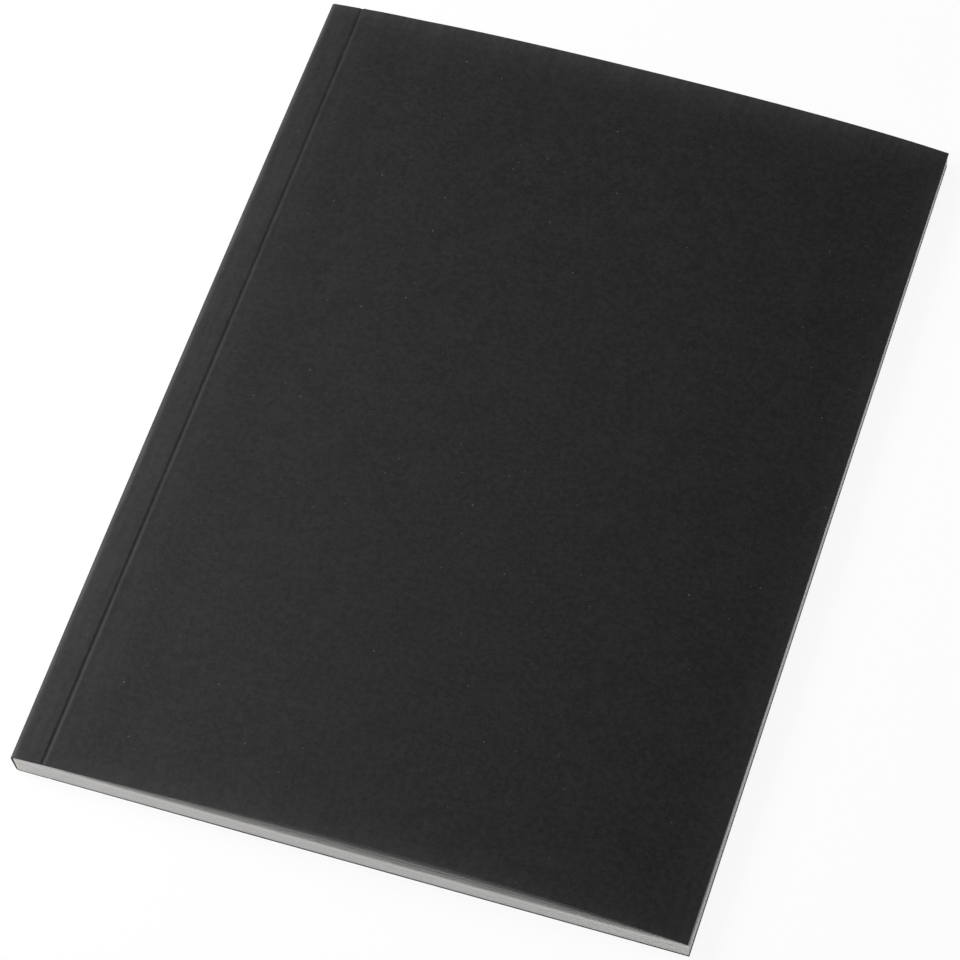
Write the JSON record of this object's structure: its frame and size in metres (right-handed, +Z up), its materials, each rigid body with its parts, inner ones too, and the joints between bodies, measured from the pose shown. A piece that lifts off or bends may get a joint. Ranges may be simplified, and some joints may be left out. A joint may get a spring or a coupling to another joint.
{
  "type": "softcover notebook",
  "caption": "Softcover notebook, perfect bound: a plain creased card cover wrapped round a glued block of leaves; the covers and leaves turn at the spine.",
  "frame": {"origin": "centre of the underside of the closed notebook, lying on its back cover", "axes": "+X from the spine to the fore-edge, +Y from tail to head, +Z up through the front cover"},
  "size_m": [0.148, 0.21, 0.0097],
  "materials": {
    "cover_card": "matte uncoated card dyed black",
    "page_paper": "matte uncoated writing paper",
    "binding_glue": "set hot-melt glue, slightly glossy"
  },
  "bodies": {
    "back_cover": {"back_cover": "cover_card"},
    "spine": {"cover_spine": "cover_card", "binding_glue": "binding_glue", "bound_margins": "page_paper"},
    "front_cover": {"front_cover": "cover_card"},
    "leaf_01": {"leaf_01": "page_paper"},
    "leaf_02": {"leaf_02": "page_paper"},
    "leaf_03": {"leaf_03": "page_paper"},
    "leaf_04": {"leaf_04": "page_paper"},
    "leaf_05": {"leaf_05": "page_paper"},
    "leaf_06": {"leaf_06": "page_paper"},
    "leaf_07": {"leaf_07": "page_paper"},
    "leaf_08": {"leaf_08": "page_paper"},
    "leaf_09": {"leaf_09": "page_paper"},
    "leaf_10": {"leaf_10": "page_paper"},
    "leaf_11": {"leaf_11": "page_paper"},
    "leaf_12": {"leaf_12": "page_paper"},
    "leaf_13": {"leaf_13": "page_paper"},
    "leaf_14": {"leaf_14": "page_paper"},
    "leaf_15": {"leaf_15": "page_paper"},
    "leaf_16": {"leaf_16": "page_paper"},
    "leaf_17": {"leaf_17": "page_paper"},
    "leaf_18": {"leaf_18": "page_paper"},
    "leaf_19": {"leaf_19": "page_paper"},
    "leaf_20": {"leaf_20": "page_paper"},
    "leaf_21": {"leaf_21": "page_paper"},
    "leaf_22": {"leaf_22": "page_paper"},
    "leaf_23": {"leaf_23": "page_paper"},
    "leaf_24": {"leaf_24": "page_paper"},
    "leaf_25": {"leaf_25": "page_paper"},
    "leaf_26": {"leaf_26": "page_paper"},
    "leaf_27": {"leaf_27": "page_paper"},
    "leaf_28": {"leaf_28": "page_paper"},
    "leaf_29": {"leaf_29": "page_paper"},
    "leaf_30": {"leaf_30": "page_paper"},
    "leaf_31": {"leaf_31": "page_paper"},
    "leaf_32": {"leaf_32": "page_paper"},
    "leaf_33": {"leaf_33": "page_paper"},
    "leaf_34": {"leaf_34": "page_paper"},
    "leaf_35": {"leaf_35": "page_paper"},
    "leaf_36": {"leaf_36": "page_paper"},
    "leaf_37": {"leaf_37": "page_paper"},
    "leaf_38": {"leaf_38": "page_paper"},
    "leaf_39": {"leaf_39": "page_paper"},
    "leaf_40": {"leaf_40": "page_paper"},
    "leaf_41": {"leaf_41": "page_paper"},
    "leaf_42": {"leaf_42": "page_paper"},
    "leaf_43": {"leaf_43": "page_paper"},
    "leaf_44": {"leaf_44": "page_paper"},
    "leaf_45": {"leaf_45": "page_paper"},
    "leaf_46": {"leaf_46": "page_paper"},
    "leaf_47": {"leaf_47": "page_paper"},
    "leaf_48": {"leaf_48": "page_paper"},
    "leaf_49": {"leaf_49": "page_paper"},
    "leaf_50": {"leaf_50": "page_paper"}
  },
  "joints": [
    {"name": "back_cover_open", "type": "hinge", "parent": "back_cover", "child": "spine", "pos_m": [-0.0663, 0, 0], "axis": [0, -1, 0], "range_deg": [0, 170]},
    {"name": "front_cover_open", "type": "hinge", "parent": "spine", "child": "front_cover", "pos_m": [-0.0672, 0, 0.00535], "axis": [0, -1, 0], "range_deg": [0, 170]},
    {"name": "leaf_01_turn", "type": "hinge", "parent": "spine", "child": "leaf_01", "pos_m": [-0.0672, 0, 0.00535], "axis": [0, -1, 0], "range_deg": [0, 169.39]},
    {"name": "leaf_02_turn", "type": "hinge", "parent": "spine", "child": "leaf_02", "pos_m": [-0.0672, 0, 0.00535], "axis": [0, -1, 0], "range_deg": [0, 168.78]},
    {"name": "leaf_03_turn", "type": "hinge", "parent": "spine", "child": "leaf_03", "pos_m": [-0.0672, 0, 0.00535], "axis": [0, -1, 0], "range_deg": [0, 168.16]},
    {"name": "leaf_04_turn", "type": "hinge", "parent": "spine", "child": "leaf_04", "pos_m": [-0.0672, 0, 0.00535], "axis": [0, -1, 0], "range_deg": [0, 167.55]},
    {"name": "leaf_05_turn", "type": "hinge", "parent": "spine", "child": "leaf_05", "pos_m": [-0.0672, 0, 0.00535], "axis": [0, -1, 0], "range_deg": [0, 166.94]},
    {"name": "leaf_06_turn", "type": "hinge", "parent": "spine", "child": "leaf_06", "pos_m": [-0.0672, 0, 0.00535], "axis": [0, -1, 0], "range_deg": [0, 166.33]},
    {"name": "leaf_07_turn", "type": "hinge", "parent": "spine", "child": "leaf_07", "pos_m": [-0.0672, 0, 0.00535], "axis": [0, -1, 0], "range_deg": [0, 165.72]},
    {"name": "leaf_08_turn", "type": "hinge", "parent": "spine", "child": "leaf_08", "pos_m": [-0.0672, 0, 0.00535], "axis": [0, -1, 0], "range_deg": [0, 165.1]},
    {"name": "leaf_09_turn", "type": "hinge", "parent": "spine", "child": "leaf_09", "pos_m": [-0.0672, 0, 0.00535], "axis": [0, -1, 0], "range_deg": [0, 164.49]},
    {"name": "leaf_10_turn", "type": "hinge", "parent": "spine", "child": "leaf_10", "pos_m": [-0.0672, 0, 0.00535], "axis": [0, -1, 0], "range_deg": [0, 163.88]},
    {"name": "leaf_11_turn", "type": "hinge", "parent": "spine", "child": "leaf_11", "pos_m": [-0.0672, 0, 0.00535], "axis": [0, -1, 0], "range_deg": [0, 163.27]},
    {"name": "leaf_12_turn", "type": "hinge", "parent": "spine", "child": "leaf_12", "pos_m": [-0.0672, 0, 0.00535], "axis": [0, -1, 0], "range_deg": [0, 162.66]},
    {"name": "leaf_13_turn", "type": "hinge", "parent": "spine", "child": "leaf_13", "pos_m": [-0.0672, 0, 0.00535], "axis": [0, -1, 0], "range_deg": [0, 162.04]},
    {"name": "leaf_14_turn", "type": "hinge", "parent": "spine", "child": "leaf_14", "pos_m": [-0.0672, 0, 0.00535], "axis": [0, -1, 0], "range_deg": [0, 161.43]},
    {"name": "leaf_15_turn", "type": "hinge", "parent": "spine", "child": "leaf_15", "pos_m": [-0.0672, 0, 0.00535], "axis": [0, -1, 0], "range_deg": [0, 160.82]},
    {"name": "leaf_16_turn", "type": "hinge", "parent": "spine", "child": "leaf_16", "pos_m": [-0.0672, 0, 0.00535], "axis": [0, -1, 0], "range_deg": [0, 160.21]},
    {"name": "leaf_17_turn", "type": "hinge", "parent": "spine", "child": "leaf_17", "pos_m": [-0.0672, 0, 0.00535], "axis": [0, -1, 0], "range_deg": [0, 159.6]},
    {"name": "leaf_18_turn", "type": "hinge", "parent": "spine", "child": "leaf_18", "pos_m": [-0.0672, 0, 0.00535], "axis": [0, -1, 0], "range_deg": [0, 158.98]},
    {"name": "leaf_19_turn", "type": "hinge", "parent": "spine", "child": "leaf_19", "pos_m": [-0.0672, 0, 0.00535], "axis": [0, -1, 0], "range_deg": [0, 158.37]},
    {"name": "leaf_20_turn", "type": "hinge", "parent": "spine", "child": "leaf_20", "pos_m": [-0.0672, 0, 0.00535], "axis": [0, -1, 0], "range_deg": [0, 157.76]},
    {"name": "leaf_21_turn", "type": "hinge", "parent": "spine", "child": "leaf_21", "pos_m": [-0.0672, 0, 0.00535], "axis": [0, -1, 0], "range_deg": [0, 157.15]},
    {"name": "leaf_22_turn", "type": "hinge", "parent": "spine", "child": "leaf_22", "pos_m": [-0.0672, 0, 0.00535], "axis": [0, -1, 0], "range_deg": [0, 156.54]},
    {"name": "leaf_23_turn", "type": "hinge", "parent": "spine", "child": "leaf_23", "pos_m": [-0.0672, 0, 0.00535], "axis": [0, -1, 0], "range_deg": [0, 155.92]},
    {"name": "leaf_24_turn", "type": "hinge", "parent": "spine", "child": "leaf_24", "pos_m": [-0.0672, 0, 0.00535], "axis": [0, -1, 0], "range_deg": [0, 155.31]},
    {"name": "leaf_25_turn", "type": "hinge", "parent": "spine", "child": "leaf_25", "pos_m": [-0.0672, 0, 0.00535], "axis": [0, -1, 0], "range_deg": [0, 154.7]},
    {"name": "leaf_26_turn", "type": "hinge", "parent": "spine", "child": "leaf_26", "pos_m": [-0.0663, 0, 0], "axis": [0, -1, 0], "range_deg": [-154.7, 0]},
    {"name": "leaf_27_turn", "type": "hinge", "parent": "spine", "child": "leaf_27", "pos_m": [-0.0663, 0, 0], "axis": [0, -1, 0], "range_deg": [-155.31, 0]},
    {"name": "leaf_28_turn", "type": "hinge", "parent": "spine", "child": "leaf_28", "pos_m": [-0.0663, 0, 0], "axis": [0, -1, 0], "range_deg": [-155.92, 0]},
    {"name": "leaf_29_turn", "type": "hinge", "parent": "spine", "child": "leaf_29", "pos_m": [-0.0663, 0, 0], "axis": [0, -1, 0], "range_deg": [-156.54, 0]},
    {"name": "leaf_30_turn", "type": "hinge", "parent": "spine", "child": "leaf_30", "pos_m": [-0.0663, 0, 0], "axis": [0, -1, 0], "range_deg": [-157.15, 0]},
    {"name": "leaf_31_turn", "type": "hinge", "parent": "spine", "child": "leaf_31", "pos_m": [-0.0663, 0, 0], "axis": [0, -1, 0], "range_deg": [-157.76, 0]},
    {"name": "leaf_32_turn", "type": "hinge", "parent": "spine", "child": "leaf_32", "pos_m": [-0.0663, 0, 0], "axis": [0, -1, 0], "range_deg": [-158.37, 0]},
    {"name": "leaf_33_turn", "type": "hinge", "parent": "spine", "child": "leaf_33", "pos_m": [-0.0663, 0, 0], "axis": [0, -1, 0], "range_deg": [-158.98, 0]},
    {"name": "leaf_34_turn", "type": "hinge", "parent": "spine", "child": "leaf_34", "pos_m": [-0.0663, 0, 0], "axis": [0, -1, 0], "range_deg": [-159.6, 0]},
    {"name": "leaf_35_turn", "type": "hinge", "parent": "spine", "child": "leaf_35", "pos_m": [-0.0663, 0, 0], "axis": [0, -1, 0], "range_deg": [-160.21, 0]},
    {"name": "leaf_36_turn", "type": "hinge", "parent": "spine", "child": "leaf_36", "pos_m": [-0.0663, 0, 0], "axis": [0, -1, 0], "range_deg": [-160.82, 0]},
    {"name": "leaf_37_turn", "type": "hinge", "parent": "spine", "child": "leaf_37", "pos_m": [-0.0663, 0, 0], "axis": [0, -1, 0], "range_deg": [-161.43, 0]},
    {"name": "leaf_38_turn", "type": "hinge", "parent": "spine", "child": "leaf_38", "pos_m": [-0.0663, 0, 0], "axis": [0, -1, 0], "range_deg": [-162.04, 0]},
    {"name": "leaf_39_turn", "type": "hinge", "parent": "spine", "child": "leaf_39", "pos_m": [-0.0663, 0, 0], "axis": [0, -1, 0], "range_deg": [-162.66, 0]},
    {"name": "leaf_40_turn", "type": "hinge", "parent": "spine", "child": "leaf_40", "pos_m": [-0.0663, 0, 0], "axis": [0, -1, 0], "range_deg": [-163.27, 0]},
    {"name": "leaf_41_turn", "type": "hinge", "parent": "spine", "child": "leaf_41", "pos_m": [-0.0663, 0, 0], "axis": [0, -1, 0], "range_deg": [-163.88, 0]},
    {"name": "leaf_42_turn", "type": "hinge", "parent": "spine", "child": "leaf_42", "pos_m": [-0.0663, 0, 0], "axis": [0, -1, 0], "range_deg": [-164.49, 0]},
    {"name": "leaf_43_turn", "type": "hinge", "parent": "spine", "child": "leaf_43", "pos_m": [-0.0663, 0, 0], "axis": [0, -1, 0], "range_deg": [-165.1, 0]},
    {"name": "leaf_44_turn", "type": "hinge", "parent": "spine", "child": "leaf_44", "pos_m": [-0.0663, 0, 0], "axis": [0, -1, 0], "range_deg": [-165.72, 0]},
    {"name": "leaf_45_turn", "type": "hinge", "parent": "spine", "child": "leaf_45", "pos_m": [-0.0663, 0, 0], "axis": [0, -1, 0], "range_deg": [-166.33, 0]},
    {"name": "leaf_46_turn", "type": "hinge", "parent": "spine", "child": "leaf_46", "pos_m": [-0.0663, 0, 0], "axis": [0, -1, 0], "range_deg": [-166.94, 0]},
    {"name": "leaf_47_turn", "type": "hinge", "parent": "spine", "child": "leaf_47", "pos_m": [-0.0663, 0, 0], "axis": [0, -1, 0], "range_deg": [-167.55, 0]},
    {"name": "leaf_48_turn", "type": "hinge", "parent": "spine", "child": "leaf_48", "pos_m": [-0.0663, 0, 0], "axis": [0, -1, 0], "range_deg": [-168.16, 0]},
    {"name": "leaf_49_turn", "type": "hinge", "parent": "spine", "child": "leaf_49", "pos_m": [-0.0663, 0, 0], "axis": [0, -1, 0], "range_deg": [-168.78, 0]},
    {"name": "leaf_50_turn", "type": "hinge", "parent": "spine", "child": "leaf_50", "pos_m": [-0.0663, 0, 0], "axis": [0, -1, 0], "range_deg": [-169.39, 0]}
  ],
  "couplings": [
    {"joint": "leaf_01_turn", "follows": "front_cover_open", "ratio": 0.9964},
    {"joint": "leaf_02_turn", "follows": "front_cover_open", "ratio": 0.9928},
    {"joint": "leaf_03_turn", "follows": "front_cover_open", "ratio": 0.9892},
    {"joint": "leaf_04_turn", "follows": "front_cover_open", "ratio": 0.9856},
    {"joint": "leaf_05_turn", "follows": "front_cover_open", "ratio": 0.982},
    {"joint": "leaf_06_turn", "follows": "front_cover_open", "ratio": 0.9784},
    {"joint": "leaf_07_turn", "follows": "front_cover_open", "ratio": 0.9748},
    {"joint": "leaf_08_turn", "follows": "front_cover_open", "ratio": 0.9712},
    {"joint": "leaf_09_turn", "follows": "front_cover_open", "ratio": 0.9676},
    {"joint": "leaf_10_turn", "follows": "front_cover_open", "ratio": 0.964},
    {"joint": "leaf_11_turn", "follows": "front_cover_open", "ratio": 0.9604},
    {"joint": "leaf_12_turn", "follows": "front_cover_open", "ratio": 0.9568},
    {"joint": "leaf_13_turn", "follows": "front_cover_open", "ratio": 0.9532},
    {"joint": "leaf_14_turn", "follows": "front_cover_open", "ratio": 0.9496},
    {"joint": "leaf_15_turn", "follows": "front_cover_open", "ratio": 0.946},
    {"joint": "leaf_16_turn", "follows": "front_cover_open", "ratio": 0.9424},
    {"joint": "leaf_17_turn", "follows": "front_cover_open", "ratio": 0.9388},
    {"joint": "leaf_18_turn", "follows": "front_cover_open", "ratio": 0.9352},
    {"joint": "leaf_19_turn", "follows": "front_cover_open", "ratio": 0.9316},
    {"joint": "leaf_20_turn", "follows": "front_cover_open", "ratio": 0.928},
    {"joint": "leaf_21_turn", "follows": "front_cover_open", "ratio": 0.9244},
    {"joint": "leaf_22_turn", "follows": "front_cover_open", "ratio": 0.9208},
    {"joint": "leaf_23_turn", "follows": "front_cover_open", "ratio": 0.9172},
    {"joint": "leaf_24_turn", "follows": "front_cover_open", "ratio": 0.9136},
    {"joint": "leaf_25_turn", "follows": "front_cover_open", "ratio": 0.91},
    {"joint": "leaf_26_turn", "follows": "back_cover_open", "ratio": -0.91},
    {"joint": "leaf_27_turn", "follows": "back_cover_open", "ratio": -0.9136},
    {"joint": "leaf_28_turn", "follows": "back_cover_open", "ratio": -0.9172},
    {"joint": "leaf_29_turn", "follows": "back_cover_open", "ratio": -0.9208},
    {"joint": "leaf_30_turn", "follows": "back_cover_open", "ratio": -0.9244},
    {"joint": "leaf_31_turn", "follows": "back_cover_open", "ratio": -0.928},
    {"joint": "leaf_32_turn", "follows": "back_cover_open", "ratio": -0.9316},
    {"joint": "leaf_33_turn", "follows": "back_cover_open", "ratio": -0.9352},
    {"joint": "leaf_34_turn", "follows": "back_cover_open", "ratio": -0.9388},
    {"joint": "leaf_35_turn", "follows": "back_cover_open", "ratio": -0.9424},
    {"joint": "leaf_36_turn", "follows": "back_cover_open", "ratio": -0.946},
    {"joint": "leaf_37_turn", "follows": "back_cover_open", "ratio": -0.9496},
    {"joint": "leaf_38_turn", "follows": "back_cover_open", "ratio": -0.9532},
    {"joint": "leaf_39_turn", "follows": "back_cover_open", "ratio": -0.9568},
    {"joint": "leaf_40_turn", "follows": "back_cover_open", "ratio": -0.9604},
    {"joint": "leaf_41_turn", "follows": "back_cover_open", "ratio": -0.964},
    {"joint": "leaf_42_turn", "follows": "back_cover_open", "ratio": -0.9676},
    {"joint": "leaf_43_turn", "follows": "back_cover_open", "ratio": -0.9712},
    {"joint": "leaf_44_turn", "follows": "back_cover_open", "ratio": -0.9748},
    {"joint": "leaf_45_turn", "follows": "back_cover_open", "ratio": -0.9784},
    {"joint": "leaf_46_turn", "follows": "back_cover_open", "ratio": -0.982},
    {"joint": "leaf_47_turn", "follows": "back_cover_open", "ratio": -0.9856},
    {"joint": "leaf_48_turn", "follows": "back_cover_open", "ratio": -0.9892},
    {"joint": "leaf_49_turn", "follows": "back_cover_open", "ratio": -0.9928},
    {"joint": "leaf_50_turn", "follows": "back_cover_open", "ratio": -0.9964}
  ]
}
